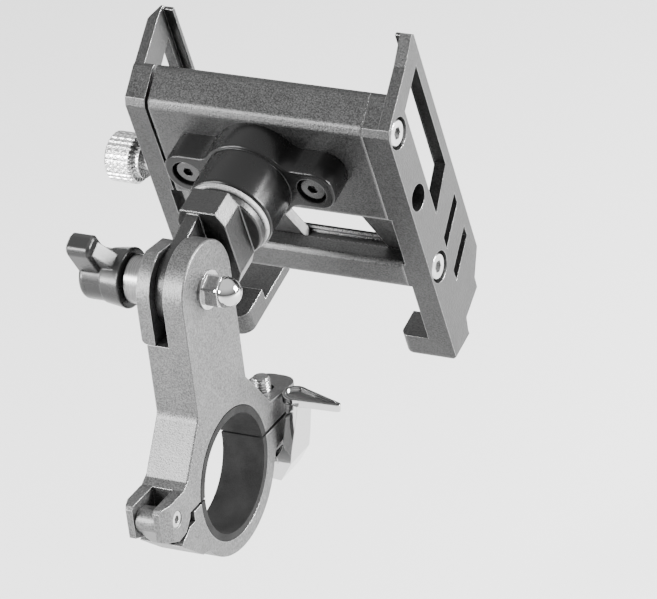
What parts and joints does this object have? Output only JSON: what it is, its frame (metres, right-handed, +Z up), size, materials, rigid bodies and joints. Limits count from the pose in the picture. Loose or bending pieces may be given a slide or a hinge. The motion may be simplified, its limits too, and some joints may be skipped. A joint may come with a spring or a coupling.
{
  "type": "bicycle phone mount",
  "caption": "Handlebar phone mount with a hinged clamp and cam lever, a tilt fork, a swivel neck and a back frame whose sliding jaw grips a phone's sides.",
  "frame": {"origin": "on the handlebar's axis, half way along the clamp's width", "axes": "+X along the handlebar towards the fixed jaw, +Y to the phone's side of the bar, +Z up the clamp's upright"},
  "size_m": [0.0905, 0.1254, 0.1249],
  "materials": {
    "clamp_aluminium": "fine bead-blasted anodised",
    "head_aluminium": "bead-blasted anodised, darker grey",
    "black_anodised": "smooth semi-gloss black",
    "black_plastic": "smooth satin black",
    "grey_washer": "dull grey",
    "rubber": "matte black",
    "chrome": "polished",
    "steel": "bright plated",
    "silver_aluminium": "satin silver",
    "brass": "turned"
  },
  "bodies": {
    "base": {"clamp_upright": "clamp_aluminium", "pressure_cheek": "clamp_aluminium", "upper_liner": "rubber", "hinge_pin": "steel", "pivot_bolt": "steel", "cap_nut": "chrome", "pivot_washer": "steel", "knob_collar": "silver_aluminium"},
    "knob": {"tension_knob": "black_plastic", "knob_insert": "brass"},
    "lower_jaw": {"clamp_lower_jaw": "clamp_aluminium", "lower_liner": "rubber", "clamp_stud": "steel", "cam_washer": "steel", "barrel_nut": "steel"},
    "lever": {"cam_lever": "chrome"},
    "yoke": {"tilt_yoke": "black_anodised", "pivot_sleeve": "grey_washer", "friction_ring": "grey_washer", "swivel_washer": "steel", "swivel_screw": "steel"},
    "head": {"neck_housing": "black_anodised", "neck_screws": "steel", "back_body": "head_aluminium", "lead_nut": "brass", "crossbeam": "head_aluminium", "beam_gusset": "head_aluminium", "right_jaw": "head_aluminium", "right_jaw_screws": "steel", "body_pad": "rubber", "beam_pad": "rubber"},
    "left_jaw": {"left_jaw": "head_aluminium", "slide_plate": "head_aluminium", "guide_rods": "steel", "left_jaw_screws": "steel"},
    "thumb": {"lead_screw": "steel", "thumb_knob": "silver_aluminium", "retaining_clip": "steel"}
  },
  "joints": [
    {"name": "lower_jaw_hinge", "type": "hinge", "parent": "base", "child": "lower_jaw", "pos_m": [0, -0.0303, 0.0039], "axis": [-1, 0, 0], "range_deg": [0, 60]},
    {"name": "lever_open", "type": "hinge", "parent": "lower_jaw", "child": "lever", "pos_m": [0, 0.029, -0.01155], "axis": [0, 1, 0], "range_deg": [0, 150]},
    {"name": "knob_turn", "type": "hinge", "parent": "base", "child": "knob", "pos_m": [-0.022, -0.0008, 0.0553], "axis": [1, 0, 0], "continuous": true},
    {"name": "tilt", "type": "hinge", "parent": "base", "child": "yoke", "pos_m": [0, -0.0008, 0.0553], "axis": [1, 0, 0], "range_deg": [-12, 90]},
    {"name": "swivel", "type": "hinge", "parent": "yoke", "child": "head", "pos_m": [0, 0.02804, 0.06357], "axis": [0, 0.9613, 0.2756], "continuous": true},
    {"name": "jaw_slide", "type": "slide", "parent": "head", "child": "left_jaw", "axis": [-1, 0, 0], "range_m": [0, 0.03]},
    {"name": "thumb_turn", "type": "hinge", "parent": "left_jaw", "child": "thumb", "pos_m": [-0.04, 0.05246, 0.05892], "axis": [1, 0, 0], "continuous": true}
  ],
  "couplings": [
    {"joint": "thumb_turn", "follows": "jaw_slide", "rad_per_m": 7854}
  ]
}
